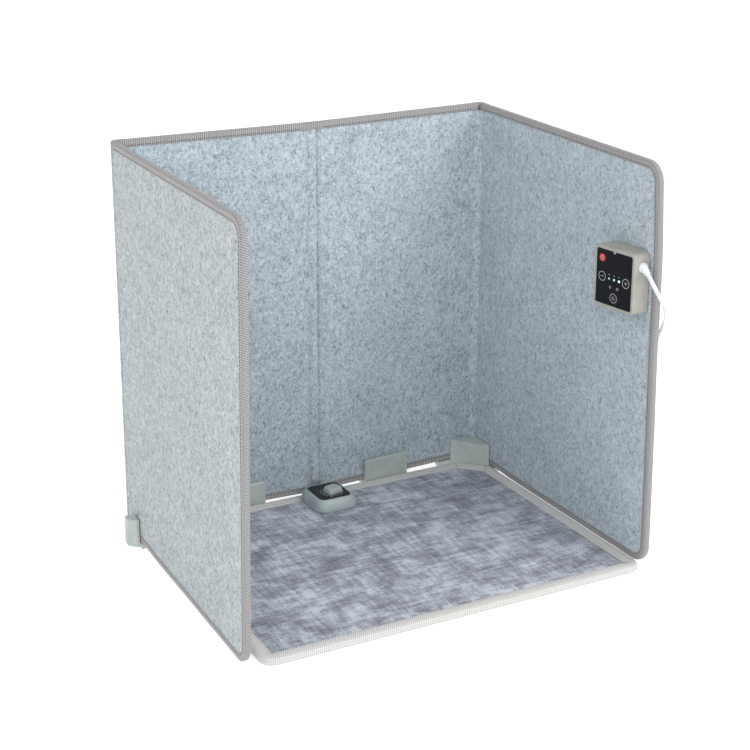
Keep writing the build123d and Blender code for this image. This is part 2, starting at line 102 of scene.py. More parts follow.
# ---------------------------------------------------------------- materials
class Material:
    """A node material with short calls to add and join its nodes."""

    def __init__(self, name, roughness=0.6, **sockets):
        self.material = bpy.data.materials.new(name)
        self.material.use_nodes = True
        self.tree = self.material.node_tree
        self.shader = self.tree.nodes["Principled BSDF"]
        self.shader.inputs["Roughness"].default_value = roughness
        for key, value in sockets.items():
            self.shader.inputs[key.replace("_", " ")].default_value = value
        self.coordinates = self.tree.nodes.new("ShaderNodeTexCoord")

    def add(self, kind, **settings):
        node = self.tree.nodes.new("ShaderNode" + kind)
        for key, value in settings.items():
            setattr(node, key, value)
        return node

    def join(self, source, target):
        self.tree.links.new(source, target)

    def noise(self, scale, detail=2.0, roughness=0.5, stretch=None, distortion=0.0):
        node = self.add("TexNoise")
        node.inputs["Scale"].default_value = scale
        node.inputs["Detail"].default_value = detail
        node.inputs["Roughness"].default_value = roughness
        node.inputs["Distortion"].default_value = distortion
        source = self.coordinates.outputs["Object"]
        if stretch:
            mapping = self.add("Mapping")
            mapping.inputs["Scale"].default_value = stretch
            self.join(source, mapping.inputs["Vector"])
            source = mapping.outputs["Vector"]
        self.join(source, node.inputs["Vector"])
        return node.outputs["Fac"]

    def ramp(self, factor, *stops):
        node = self.add("ValToRGB")
        elements = node.color_ramp.elements
        while len(elements) < len(stops):
            elements.new(0.5)
        for element, (place, colour) in zip(elements, stops):
            element.position = place
            element.color = (*colour, 1)
        self.join(factor, node.inputs["Fac"])
        return node.outputs["Color"]

    def mix(self, factor, a, b, blend="MIX"):
        node = self.add("Mix", data_type="RGBA", blend_type=blend)
        if isinstance(factor, float):
            node.inputs[0].default_value = factor
        else:
            self.join(factor, node.inputs[0])
        for value, socket in ((a, node.inputs[6]), (b, node.inputs[7])):
            if isinstance(value, tuple):
                socket.default_value = (*value, 1)
            else:
                self.join(value, socket)
        return node.outputs[2]

    def level(self, factor, low, high, to_low=0.0, to_high=1.0):
        node = self.add("MapRange")
        limits = {"From Min": low, "From Max": high, "To Min": to_low, "To Max": to_high}
        for key, value in limits.items():
            node.inputs[key].default_value = value
        self.join(factor, node.inputs["Value"])
        return node.outputs["Result"]

    def sum(self, a, b, operation="ADD"):
        node = self.add("Math", operation=operation)
        for value, socket in ((a, node.inputs[0]), (b, node.inputs[1])):
            if isinstance(value, float):
                socket.default_value = value
            else:
                self.join(value, socket)
        return node.outputs[0]

    def bump(self, height, distance, strength=1.0):
        node = self.add("Bump")
        node.inputs["Distance"].default_value = distance
        node.inputs["Strength"].default_value = strength
        self.join(height, node.inputs["Height"])
        self.join(node.outputs["Normal"], self.shader.inputs["Normal"])

    def colour(self, output):
        self.join(output, self.shader.inputs["Base Color"])

    def rough(self, output):
        self.join(output, self.shader.inputs["Roughness"])


def felt(name, dark, middle, light, cloud):
    """Needled felt: matted fibres in several shades, in clumps, with soft clouds of colour."""
    made = Material(name, roughness=0.95, Sheen_Weight=0.2, Sheen_Roughness=0.6)
    upright = made.noise(330, 4, 0.7, stretch=(1, 1, 0.5), distortion=1.0)
    slanted = made.noise(430, 4, 0.7, stretch=(0.6, 0.6, 1), distortion=1.4)
    clumps = made.noise(95, 4, 0.72, distortion=0.6)
    clouds = made.noise(14, 3, 0.6)
    fibres = made.sum(made.sum(upright, 0.45, "MULTIPLY"), made.sum(slanted, 0.35, "MULTIPLY"))
    fibres = made.sum(fibres, made.sum(clumps, 0.20, "MULTIPLY"))
    base = made.ramp(fibres, (0.41, dark), (0.49, middle), (0.57, light))
    tint = made.level(clouds, 0.38, 0.66, 0.0, 0.38)
    made.colour(made.mix(tint, base, cloud, "MULTIPLY"))
    made.rough(made.level(fibres, 0.4, 0.6, 0.88, 1.0))
    made.bump(fibres, 0.0014, 0.8)
    return made.material


def ribbed_tape(name, dark, light, period):
    """Woven tape, ribbed at a slant and corded lengthwise; U runs along it, V across, in metres."""
    made = Material(name, roughness=0.85, Sheen_Weight=0.15)

    def bands(direction, width, turn):
        wave = made.add("TexWave", wave_type="BANDS", bands_direction=direction,
                        wave_profile="SIN")
        wave.inputs["Scale"].default_value = math.pi / (10 * width)
        mapping = made.add("Mapping")
        mapping.inputs["Rotation"].default_value = (0, 0, math.radians(turn))
        made.join(made.coordinates.outputs["UV"], mapping.inputs["Vector"])
        made.join(mapping.outputs["Vector"], wave.inputs["Vector"])
        return wave.outputs["Fac"]

    ribs = bands("X", period, 24)
    cords = bands("Y", 0.0019, 0)
    threads = made.noise(1300, 2, 0.6)
    wear = made.noise(24, 3, 0.6)
    relief = made.sum(made.sum(ribs, 0.55, "MULTIPLY"), made.sum(cords, 0.25, "MULTIPLY"))
    relief = made.sum(relief, made.sum(threads, 0.30, "MULTIPLY"))
    colour = made.ramp(relief, (0.22, dark), (0.80, light))
    worn = tuple(0.5 * (a + b) for a, b in zip(dark, light))
    made.colour(made.mix(made.level(wear, 0.4, 0.7, 0.0, 0.35), colour, worn))
    made.bump(relief, 0.0006, 0.9)
    return made.material


def plush(name):
    """Short brushed pile over a linen-like weave, clouded where it lies in different directions."""
    made = Material(name, roughness=0.92, Sheen_Weight=0.35, Sheen_Roughness=0.5)
    along = made.noise(150, 4, 0.7, stretch=(0.14, 1, 1), distortion=0.3)
    across = made.noise(150, 4, 0.7, stretch=(1, 0.14, 1), distortion=0.3)
    cloud = made.noise(20, 6, 0.70, stretch=(0.8, 1.2, 1), distortion=0.4)
    pile = made.noise(700, 4, 0.7)
    weave = made.sum(made.sum(along, across), 0.5, "MULTIPLY")
    tone = made.sum(made.sum(cloud, 0.36, "MULTIPLY"), made.sum(weave, 0.38, "MULTIPLY"))
    tone = made.sum(tone, made.sum(pile, 0.26, "MULTIPLY"))
    made.colour(made.ramp(tone, (0.42, (0.110, 0.118, 0.150)),
                          (0.49, (0.285, 0.305, 0.360)), (0.56, (0.600, 0.635, 0.720))))
    made.bump(made.sum(pile, made.sum(weave, 1.5, "MULTIPLY")), 0.0009, 0.9)
    return made.material


def moulded(name, colour, roughness=0.48, grain=0.00008, **sockets):
    """Moulded plastic with a fine eroded grain and a slight unevenness in its colour."""
    made = Material(name, roughness=roughness, **sockets)
    grains = made.noise(2600, 2, 0.5)
    patches = made.noise(45, 3, 0.5)
    darker = tuple(0.86 * c for c in colour)
    made.colour(made.mix(made.level(patches, 0.35, 0.7), colour, darker))
    made.rough(made.level(patches, 0.3, 0.7, roughness - 0.06, roughness + 0.08))
    made.bump(grains, grain, 0.6)
    return made.material


def metal(name, colour, roughness):
    made = Material(name, roughness=roughness, Metallic=1.0)
    lines = made.noise(500, 2, 0.5, stretch=(1, 8, 1))
    made.colour(made.mix(made.level(lines, 0.4, 0.6), colour, tuple(0.8 * c for c in colour)))
    made.rough(made.level(lines, 0.3, 0.7, roughness - 0.05, roughness + 0.1))
    return made.material


def thread(name, colour):
    made = Material(name, roughness=0.8)
    twist = made.noise(1800, 1, 0.5, stretch=(1, 1, 3))
    made.colour(made.mix(made.level(twist, 0.4, 0.6), colour, tuple(0.6 * c for c in colour)))
    made.bump(twist, 0.0002, 0.6)
    return made.material


FELT_INNER = felt("felt_inner", (0.195, 0.225, 0.252), (0.412, 0.474, 0.520),
                  (0.575, 0.645, 0.700), (0.70, 0.74, 0.78))
FELT_OUTER = felt("felt_outer", (0.148, 0.171, 0.181), (0.368, 0.412, 0.431),
                  (0.550, 0.598, 0.622), (0.84, 0.86, 0.87))
TAPE_GREY = ribbed_tape("screen_binding", (0.120, 0.115, 0.120), (0.440, 0.428, 0.432), 0.0028)
TAPE_IVORY = ribbed_tape("mat_binding", (0.450, 0.445, 0.430), (0.760, 0.750, 0.735), 0.0026)
THREAD_DARK = thread("thread_dark", (0.060, 0.058, 0.070))
THREAD_IVORY = thread("thread_ivory", (0.52, 0.50, 0.47))
PLUSH = plush("mat_plush")
SUPPORT = moulded("support_plastic", (0.490, 0.545, 0.515), 0.5)
WALL_PLASTIC = moulded("wall_control_plastic", (0.400, 0.395, 0.355), 0.42)
MAT_PLASTIC = moulded("mat_control_plastic", (0.420, 0.480, 0.475), 0.36)
BLACK = moulded("face_black", (0.010, 0.010, 0.012), 0.22, 0.00001, Specular_IOR_Level=0.25)
LEAD_WHITE = moulded("lead_white", (0.80, 0.83, 0.85), 0.38, 0.00003)
CORE = moulded("core_board", (0.40, 0.31, 0.22), 0.9)
FILM_BLACK = moulded("heating_film", (0.03, 0.03, 0.035), 0.5)
FOIL_METAL = metal("foil", (0.80, 0.81, 0.83), 0.3)
FOAM = moulded("mat_foam", (0.70, 0.70, 0.66), 0.95, 0.0004)
WIRE = moulded("heating_wire", (0.55, 0.10, 0.08), 0.5)
BACKING = moulded("mat_backing", (0.07, 0.075, 0.085), 0.9, 0.0003)
BOARD = moulded("circuit_board", (0.02, 0.16, 0.07), 0.3)
RELAY = moulded("relay_plastic", (0.03, 0.04, 0.05), 0.4)
STEEL = metal("metal", (0.62, 0.62, 0.63), 0.35)
BRASS = metal("pins", (0.72, 0.62, 0.36), 0.3)
LENS = moulded("led_lens", (0.75, 0.85, 0.88), 0.1)
PRINT_GREY = moulded("print_grey", (0.55, 0.57, 0.58), 0.5)
PRINT_RED = moulded("print_red", (0.62, 0.035, 0.020), 0.4)
LED_CYAN = moulded("led_cyan", (0.30, 0.75, 0.80), 0.3,
                   Emission_Color=(0.3, 0.8, 0.9, 1), Emission_Strength=0.5)
LED_WHITE = moulded("led_white", (0.85, 0.90, 0.92), 0.3,
                    Emission_Color=(0.9, 0.97, 1, 1), Emission_Strength=0.5)


# ---------------------------------------------------------------- mesh helpers
def mesh_piece(name, points, faces, material, body=None, uvs=None, smooth=True):
    """A mesh object of these points and faces; uvs are a pair for each point."""
    mesh = bpy.data.meshes.new(name)
    mesh.from_pydata([tuple(p) for p in points], [], faces)
    mesh.materials.append(material)
    if uvs:
        layer = mesh.uv_layers.new(name="UVMap")
        for loop in mesh.loops:
            layer.data[loop.index].uv = uvs[loop.vertex_index]
    for polygon in mesh.polygons:
        polygon.use_smooth = smooth
    mesh.update()
    piece = bpy.data.objects.new(name, mesh)
    bpy.context.scene.collection.objects.link(piece)
    if body:
        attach(piece, body)
    return piece


def grid_faces(rows, columns, first=0, closed=False):
    """Quads between rows of points; closed joins each row's end to its start."""
    faces = []
    for r in range(rows - 1):
        for c in range(columns if closed else columns - 1):
            a, b = first + r * columns + c, first + r * columns + (c + 1) % columns
            faces.append((a, b, b + columns, a + columns))
    return faces


def sweep(name, rings, lengths, material, body=None, capped=True, across=None):
    """A closed tube of rings of points; lengths are how far along each ring lies."""
    count = len(rings[0])
    points = [p for ring in rings for p in ring]
    faces = grid_faces(len(rings), count, closed=True)
    if capped:
        faces.append(tuple(reversed(range(count))))
        last = len(points) - count
        faces.append(tuple(range(last, last + count)))
    span = across or [i * 0.001 for i in range(count)]
    uvs = [(length, v) for length in lengths for v in span]
    return mesh_piece(name, points, faces, material, body, uvs)


# ---------------------------------------------------------------- the leaves of the screen
def heading(degrees):
    return Vector((math.cos(math.radians(degrees)), math.sin(math.radians(degrees)), 0))


def smooth_step(value):
    value = min(max(value, 0.0), 1.0)
    return value * value * (3 - 2 * value)


class Leaf:
    """A leaf's own coordinates: s along it from its fold axis, n from its inner face out, z up."""

    def __init__(self, name, side, out_angle, length, free):
        self.name, self.side, self.length, self.free = name, side, length, free
        self.hinge = Vector((CENTRE_X + side * HINGE_SPAN / 2, HINGE_Y, 0))
        self.out = heading(out_angle)
        self.away = UP.cross(self.out) * (-side if free else side)

    def bow(self, s, z):
        """How far the felt stands off its plane: the wings twist a little, and all are uneven."""
        wave = 0.0007 * noise.noise(Vector((s * 7 + self.side * 3, z * 5, 2.0 + self.free)))
        wave *= smooth_step(s / 0.06) * smooth_step((self.length - s) / 0.06 + 0.3)
        if not self.free:
            return wave
        reach = max(s, 0) / self.length
        height = (z - LEAF_BOTTOM) / (LEAF_TOP - LEAF_BOTTOM)
        if self.side < 0:
            return wave - LEFT_LEAN * reach * height
        low = 0.0035 * smooth_step((0.34 - z) / 0.34)           # out at the bottom
        high = -0.0058 * smooth_step((z - 0.43) / 0.16)         # in at the top
        return 0.3 * wave + reach * (low + high - 0.0012 * smooth_step((z - 0.2) / 0.15))

    def at(self, s, n, z):
        if self.free:
            low = smooth_step(1 - (z - LEAF_BOTTOM) / 0.1)
            z -= WING_SAG * smooth_step((s - 0.072) / 0.05) * low
        return self.hinge + self.away * s + self.out * (n + self.bow(s, z)) + UP * z

    def reach(self, z, inset):
        """Where the leaf ends at this height: its free corners are round."""
        if not self.free:
            return self.length - inset
        radius = CORNER_RADIUS - inset
        edge = min(z - LEAF_BOTTOM, LEAF_TOP - z) - inset
        if edge >= radius:
            return self.length - inset
        return self.length - inset - radius + math.sqrt(max(radius**2 - (radius - edge) ** 2, 0))

    def outline(self):
        """A wing's bound edge as (s, z, inward s, inward z), along the bottom, up and back."""
        run = self.length - CORNER_RADIUS
        count = int((run - FOLD_GAP) / EDGE_STEP)
        path = [(FOLD_GAP + (run - FOLD_GAP) * i / count, LEAF_BOTTOM, 0, 1) for i in range(count)]
        for i in range(17):
            a = math.radians(-90 + 90 * i / 16)
            path.append((run + CORNER_RADIUS * math.cos(a),
                         LEAF_BOTTOM + CORNER_RADIUS * (1 + math.sin(a)),
                         -math.cos(a), -math.sin(a)))
        rise = LEAF_TOP - LEAF_BOTTOM - 2 * CORNER_RADIUS
        steps = int(rise / EDGE_STEP)
        for i in range(1, steps):
            path.append((self.length, LEAF_BOTTOM + CORNER_RADIUS + rise * i / steps, -1, 0))
        for i in range(17):
            a = math.radians(90 * i / 16)
            path.append((run + CORNER_RADIUS * math.cos(a),
                         LEAF_TOP - CORNER_RADIUS * (1 - math.sin(a)),
                         -math.cos(a), -math.sin(a)))
        for i in range(1, count + 1):
            path.append((run - (run - FOLD_GAP) * i / count, LEAF_TOP, 0, -1))
        return path

    def edge_run(self, top):
        """A back half's bound edge, along its top or its bottom."""
        span = self.length - FOLD_GAP
        count = int(span / EDGE_STEP)
        z, inward = (LEAF_TOP, -1) if top else (LEAF_BOTTOM, 1)
        return [(FOLD_GAP + span * i / count, z, 0, inward) for i in range(count + 1)]


BACK_LENGTH = (HINGE_SPAN / 2 / math.cos(math.radians(BACK_FOLD))
               - LEAF_THICKNESS * math.tan(math.radians(BACK_FOLD)) - CENTRE_STRIP / 2)
CENTRE_AXIS_Y = (HINGE_Y - HINGE_SPAN / 2 * math.tan(math.radians(BACK_FOLD))
                 + LEAF_THICKNESS / math.cos(math.radians(BACK_FOLD)))
LEAVES = {
    "left_wing": Leaf("left_wing", -1, 180 - LEFT_SPLAY, WING_LENGTH, True),
    "left_back": Leaf("left_back", -1, 90 - BACK_FOLD, BACK_LENGTH, False),
    "right_back": Leaf("right_back", 1, 90 + BACK_FOLD, BACK_LENGTH, False),
    "right_wing": Leaf("right_wing", 1, RIGHT_SPLAY, WING_LENGTH, True),
}


def make_layer(leaf, layer, low, high, inset, margin, material, slot_name, cell):
    """One layer of a leaf, a closed sheet between two depths, in place of its CAD solid."""
    rows = max(int((LEAF_TOP - LEAF_BOTTOM) / cell), 8)
    columns = max(int(leaf.length / cell), 8)
    first = FOLD_GAP + margin
    points = []
    bottom, top = LEAF_BOTTOM + inset, LEAF_TOP - inset
    for depth in (low, high):
        for r in range(rows + 1):
            share = r / rows        # the rows lie closer at the round corners
            eased = 0.5 - 0.5 * math.cos(math.pi * share)
            z = bottom + (top - bottom) * (0.35 * eased + 0.65 * share)
            end = leaf.reach(z, inset)
            for c in range(columns + 1):
                points.append(leaf.at(first + (end - first) * c / columns, depth, z))
    count = (rows + 1) * (columns + 1)
    outer = grid_faces(rows + 1, columns + 1, count)
    inner = [tuple(reversed(face)) for face in grid_faces(rows + 1, columns + 1)]
    rim = list(range(columns + 1))
    rim += [r * (columns + 1) + columns for r in range(1, rows + 1)]
    rim += [rows * (columns + 1) + c for c in range(columns - 1, -1, -1)]
    rim += [r * (columns + 1) for r in range(rows - 1, 0, -1)]
    sides = [(a, b, b + count, a + count) for a, b in zip(rim, rim[1:] + rim[:1])]
    piece = mesh_piece(f"{leaf.name}_{layer}_soft", points, inner + outer + sides, material,
                       leaf.name)
    fix_normals(piece)
    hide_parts(f"{leaf.name}_{layer}")


def fix_normals(piece, merge=False):
    """Turns a closed mesh's faces outwards; merge joins points that lie on each other first."""
    work = bmesh.new()
    work.from_mesh(piece.data)
    if merge:
        bmesh.ops.remove_doubles(work, verts=work.verts, dist=1e-6)
    bmesh.ops.recalc_face_normals(work, faces=work.faces)
    work.to_mesh(piece.data)
    work.free()
    piece.data.update()


# The binding's section, mm: distance in from the edge, and out from the leaf's middle
TAPE_OUTSIDE = [(11.2, 3.75), (11.0, 4.25), (9.8, 4.45), (8.4, 4.25), (7.0, 4.48), (4.0, 4.50),
                (2.0, 4.30), (0.8, 3.55), (0.15, 2.30), (0.0, 0.90)]
TAPE_INSIDE = [(1.1, 0.90), (1.2, 2.20), (2.2, 3.40), (4.0, 3.75), (9.0, 3.75)]


def tape_section():
    side = [(d * MM, n * MM) for d, n in TAPE_OUTSIDE]
    lining = [(d * MM, n * MM) for d, n in TAPE_INSIDE]
    section = side + [(d, -n) for d, n in reversed(side)]
    return section + [(d, -n) for d, n in reversed(lining)] + lining


def run_lengths(places):
    lengths = [0.0]
    for a, b in zip(places, places[1:]):
        lengths.append(lengths[-1] + (b - a).length)
    return lengths


def make_binding(leaf, name, path):
    middle = LEAF_THICKNESS / 2
    section = tape_section()
    rings, places = [], []
    for s, z, in_s, in_z in path:
        rings.append([leaf.at(s + d * in_s, middle + n, z + d * in_z) for d, n in section])
        places.append(leaf.at(s, middle, z))
    across = [n for d, n in section]
    piece = sweep(name, rings, run_lengths(places), TAPE_GREY, leaf.name,
                  across=across)
    fix_normals(piece)
    return piece


def stitch_points(place, along, side, up, size):
    """A small rounded stitch lying along a direction, a little proud of the cloth."""
    half, radius = size
    points = []
    for t, share in ((-1.0, 0.35), (-0.6, 1.0), (0.6, 1.0), (1.0, 0.35)):
        for k in range(6):
            a = math.radians(60 * k)
            across = side * (math.cos(a) * radius * share) + up * (math.sin(a) * radius * share)
            points.append(place + along * (t * half) + across)
    return points


STITCH_FACES = grid_faces(4, 6, closed=True) + [(5, 4, 3, 2, 1, 0), (18, 19, 20, 21, 22, 23)]


def make_stitches(name, spots, body, material, size=(0.0016, 0.00045)):
    """A row of stitches; spots are (place, direction along, direction out of the cloth)."""
    points, faces = [], []
    for place, along, up in spots:
        first = len(points)
        points += stitch_points(place, along.normalized(), along.cross(up).normalized(), up, size)
        faces += [tuple(first + i for i in face) for face in STITCH_FACES]
    return mesh_piece(name, points, faces, material, body)


def leaf_stitches(leaf, path):
    """Stitch places along both faces of a leaf's binding."""
    spots = []
    for side in (-1, 1):
        depth = LEAF_THICKNESS / 2 + side * STITCH_DEPTH
        line = [leaf.at(s + STITCH_INSET * in_s, depth, z + STITCH_INSET * in_z)
                for s, z, in_s, in_z in path]
        lengths = run_lengths(line)
        target = STITCH_SPACING
        for i in range(1, len(line)):
            while lengths[i] >= target:
                share = (target - lengths[i - 1]) / (lengths[i] - lengths[i - 1])
                if min(target, lengths[-1] - target) > STITCH_END:
                    place = line[i - 1].lerp(line[i], share)
                    spots.append((place, line[i] - line[i - 1], leaf.out * side))
                target += STITCH_SPACING
    return spots


def make_leaf(leaf):
    film = TAPE + FELT
    foil = film + FILM
    core = foil + FOIL
    outer = LEAF_THICKNESS - TAPE - FELT
    layers = [
        ("inner_felt", TAPE, film, TAPE_EDGE, 0, FELT_INNER, "felt_inner", 0.009),
        ("heating_film", film, foil, FILM_MARGIN, FILM_MARGIN, FILM_BLACK, "heating_film", 0.03),
        ("reflective_foil", foil, core, FILM_MARGIN, FILM_MARGIN, FOIL_METAL, "foil", 0.03),
        ("core_board", core, outer, TAPE_EDGE, 0, CORE, "core_board", 0.012),
        ("outer_felt", outer, LEAF_THICKNESS - TAPE, TAPE_EDGE, 0, FELT_OUTER, "felt_outer", 0.009),
    ]
    for layer in layers:
        make_layer(leaf, *layer)
    if leaf.free:
        path = leaf.outline()
        bindings = [make_binding(leaf, f"{leaf.name}_binding", path)]
        spots = leaf_stitches(leaf, path)
    else:
        top, bottom = leaf.edge_run(True), leaf.edge_run(False)
        bindings = [make_binding(leaf, f"{leaf.name}_binding_top", top),
                    make_binding(leaf, f"{leaf.name}_binding_bottom", bottom)]
        spots = leaf_stitches(leaf, top) + leaf_stitches(leaf, bottom)
    for binding in bindings:
        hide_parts(f"{leaf.name}_edge_binding")
    make_stitches(f"{leaf.name}_stitches", spots, leaf.name, THREAD_DARK)


for leaf in LEAVES.values():
    make_leaf(leaf)


# ---------------------------------------------------------------- soft folds between the leaves
def corner_plan(wing, back):
    """Plan lines round a back corner: the outer skin's arc and the inner chamfer's hollow."""
    outer, inner = [], []
    depth = LEAF_THICKNESS - TAPE + 0.0003
    lap = 0.004
    outer.append(wing.hinge + wing.away * lap + wing.out * depth)
    for i in range(13):
        outer.append(wing.hinge + wing.out.slerp(back.out, i / 12) * depth)
    outer.append(back.hinge + back.away * lap + back.out * depth)
    a = wing.hinge + wing.away * CHAMFER + wing.out * TAPE
    b = back.hinge + back.away * CHAMFER + back.out * TAPE
    for i in range(9):
        t = i / 8
        inner.append(a.lerp(b, t).lerp(wing.hinge, 0.30 * 4 * t * (1 - t)))
    return outer, inner


def strip(name, plan, material, inside):
    """A soft strip along a plan line from the bottom to the top of the screen."""
    rows = 48
    loop = []
    for i, place in enumerate(plan):
        before, after = plan[max(i - 1, 0)], plan[min(i + 1, len(plan) - 1)]
        side = (after - before).cross(UP).normalized()
        if side.dot(inside - place) < 0:
            side.negate()
        loop.append((place, place + side * SKIN))
    ring = [p for p, q in loop] + [q for p, q in reversed(loop)]
    rings, heights = [], []
    for r in range(rows + 1):
        z = LEAF_BOTTOM + STRIP_END + (LEAF_TOP - LEAF_BOTTOM - 2 * STRIP_END) * r / rows
        rings.append([Vector((p.x, p.y, z)) for p in ring])
        heights.append(z)
    piece = sweep(name, rings, heights, material)
    fix_normals(piece)
    return piece


def tape_ring(place, out, z, inward):
    """The edge tape's section over a fold, a little inside the leaves' own tape."""
    middle, slim, lift = LEAF_THICKNESS / 2, 0.985, 0.0002
    return [place + out * (middle + n * slim) + UP * (z + d * inward - inward * lift)
            for d, n in tape_section()]


def corner_binding(name, wing, back, top):
    """The edge tape as it turns a back corner."""
    z, inward = (LEAF_TOP, -1) if top else (LEAF_BOTTOM, 1)
    rings, places = [], []
    stations = [(wing, wing.away * 0.009, wing.out), (wing, wing.away * 0.004, wing.out)]
    for i in range(9):
        stations.append((wing, Vector(), wing.out.slerp(back.out, i / 8)))
    stations += [(back, back.away * 0.004, back.out), (back, back.away * 0.009, back.out)]
    for leaf, shift, out in stations:
        rings.append(tape_ring(leaf.hinge + shift, out, z, inward))
        places.append(leaf.hinge + shift + out * (LEAF_THICKNESS / 2))
    piece = sweep(name, rings, run_lengths(places), TAPE_GREY,
                  across=[n for d, n in tape_section()])
    fix_normals(piece)
    return piece


def make_corner(side_name):
    wing, back = LEAVES[f"{side_name}_wing"], LEAVES[f"{side_name}_back"]
    outer, inner = corner_plan(wing, back)
    skin = strip(f"{side_name}_fold_skin", outer, FELT_OUTER, wing.hinge)
    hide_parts(f"{side_name}_fold_strip")
    lining = strip(f"{side_name}_fold_lining", inner, FELT_INNER, wing.hinge)
    tapes = [corner_binding(f"{side_name}_fold_tape_{word}", wing, back, word == "top")
             for word in ("top", "bottom")]
    for piece in [skin, lining] + tapes:
        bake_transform(piece)


make_corner("right")
make_corner("left")


def make_centre():
    """The soft strip between the back halves, with a crease along each of its sides."""
    right, left = LEAVES["right_back"], LEAVES["left_back"]
    reach = right.length
    inner = [right.hinge + right.away * (reach - 0.004) + right.out * (TAPE + 0.0002)]
    inner.append(right.hinge + right.away * (reach + 0.0001) + right.out * (TAPE + 0.0012))
    a = right.hinge + right.away * (reach + 0.0016) + right.out * (TAPE + 0.0001)
    b = left.hinge + left.away * (reach + 0.0016) + left.out * (TAPE + 0.0001)
    for i in range(7):
        t = i / 6
        inner.append(a.lerp(b, t) + Vector((0, -0.0008, 0)) * (4 * t * (1 - t)))
    inner.append(left.hinge + left.away * (reach + 0.0001) + left.out * (TAPE + 0.0012))
    inner.append(left.hinge + left.away * (reach - 0.004) + left.out * (TAPE + 0.0002))
    outside = Vector((CENTRE_X, CENTRE_AXIS_Y + 1, 0))
    lining = strip("centre_fold_lining", inner, FELT_INNER, outside)
    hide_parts("centre_fold_strip")
    skin_plan = []
    for i in range(9):
        x = 0.0075 - 0.015 * i / 8
        y = CENTRE_AXIS_Y + abs(x) * math.tan(math.radians(BACK_FOLD)) - 0.0006
        skin_plan.append(Vector((CENTRE_X + x, y, 0)))
    front = right.hinge - Vector((0, 1, 0))
    skin = strip("centre_fold_skin", skin_plan, FELT_OUTER, front)
    pieces = [lining, skin]
    for word, z, inward in (("top", LEAF_TOP, -1), ("bottom", LEAF_BOTTOM, 1)):
        rings, places = [], []
        for leaf, extra in ((right, -0.003), (right, 0.003), (left, 0.003), (left, -0.003)):
            places.append(leaf.hinge + leaf.away * (reach + extra))
            rings.append(tape_ring(places[-1], leaf.out, z, inward))
        tape = sweep(f"centre_fold_tape_{word}", rings, run_lengths(places), TAPE_GREY,
                     across=[n for d, n in tape_section()])
        fix_normals(tape)
        pieces.append(tape)
    for piece in pieces:
        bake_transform(piece)


make_centre()


# ---------------------------------------------------------------- mat
def mat_path(inset, step=0.004):
    """The mat's outline as (place, inward), anticlockwise from the middle of its back edge."""
    low, high = MAT_LOW, MAT_HIGH
    left, right, front, back = low.x + inset, high.x - inset, low.y + inset, high.y - inset
    cut = MAT_CORNER_CUT - inset * (2 - math.sqrt(2)) * 0.6
    radius = max(MAT_FRONT_RADIUS - inset, 0.003)
    soft = 0.010
    corners = [((left + cut, back), soft), ((left, back - cut), soft), ((left, front), radius),
               ((right, front), radius), ((right, back - cut), soft), ((right - cut, back), soft)]
    path = []
    for i, ((x, y), r) in enumerate(corners):
        at = Vector((x, y, 0))
        before = Vector((*corners[i - 1][0], 0))
        after = Vector((*corners[(i + 1) % len(corners)][0], 0))
        into, out = (at - before).normalized(), (after - at).normalized()
        turn = into.angle(out)
        tangent = r * math.tan(turn / 2)
        centre = at - into * tangent + UP.cross(into) * r
        count = max(int(turn * r / 0.002), 4)
        for k in range(count + 1):
            inward = (Matrix.Rotation(turn * k / count, 3, "Z") @ UP.cross(into)).normalized()
            path.append((centre - inward * r, inward))
    for place, inward in path:
        if place.x > CENTRE_X:
            place.x += MAT_SPREAD * smooth_step((high.y - place.y) / (high.y - low.y))
    full = []
    for i, (place, inward) in enumerate(path):
        following, next_inward = path[(i + 1) % len(path)]
        gap = (following - place).length
        count = max(int(gap / step), 1)
        for k in range(count):
            share = k / count
            full.append((place.lerp(following, share),
                         inward.lerp(next_inward, share).normalized()))
    return full


# The mat binding's section, mm: distance in from the edge, and height
MAT_TAPE = [(19.0, 5.9), (18.8, 7.9), (17.4, 8.9), (15.8, 8.5), (14.2, 9.2), (9.0, 9.6), (4.5, 9.5),
            (1.8, 8.9), (0.4, 7.3), (-0.5, 4.2), (0.0, 1.5), (1.2, 0.25), (4.0, 0.0), (12.0, 0.0),
            (12.0, 0.9), (3.0, 1.1), (1.6, 2.2), (1.5, 4.0), (3.2, 5.6)]


def make_mat():
    path = mat_path(0)
    path = path + path[:1]
    section = [(d * MM, h * MM) for d, h in MAT_TAPE]
    rings = [[place + inward * d + UP * h for d, h in section] for place, inward in path]
    lengths = run_lengths([place for place, inward in path])
    points = [p for ring in rings for p in ring]
    uvs = [(length, d) for length in lengths for d, h in section]
    faces = grid_faces(len(rings), len(section), closed=True)
    binding = mesh_piece("mat_binding", points, faces, TAPE_IVORY, "mat", uvs)
    fix_normals(binding, merge=True)
    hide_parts("mat_edge_binding")
    spots, target = [], 0.0
    seam_inset, seam_height, spacing = 0.0158, 0.0087, 0.0056
    for i in range(1, len(path)):
        (before, _), (after, inward) = path[i - 1], path[i]
        while lengths[i] >= target:
            share = (target - lengths[i - 1]) / max(lengths[i] - lengths[i - 1], 1e-9)
            place = before.lerp(after, share) + inward * seam_inset + UP * seam_height
            spots.append((place, after - before, UP))
            target += spacing
    make_stitches("mat_stitches", spots, "mat", THREAD_IVORY)


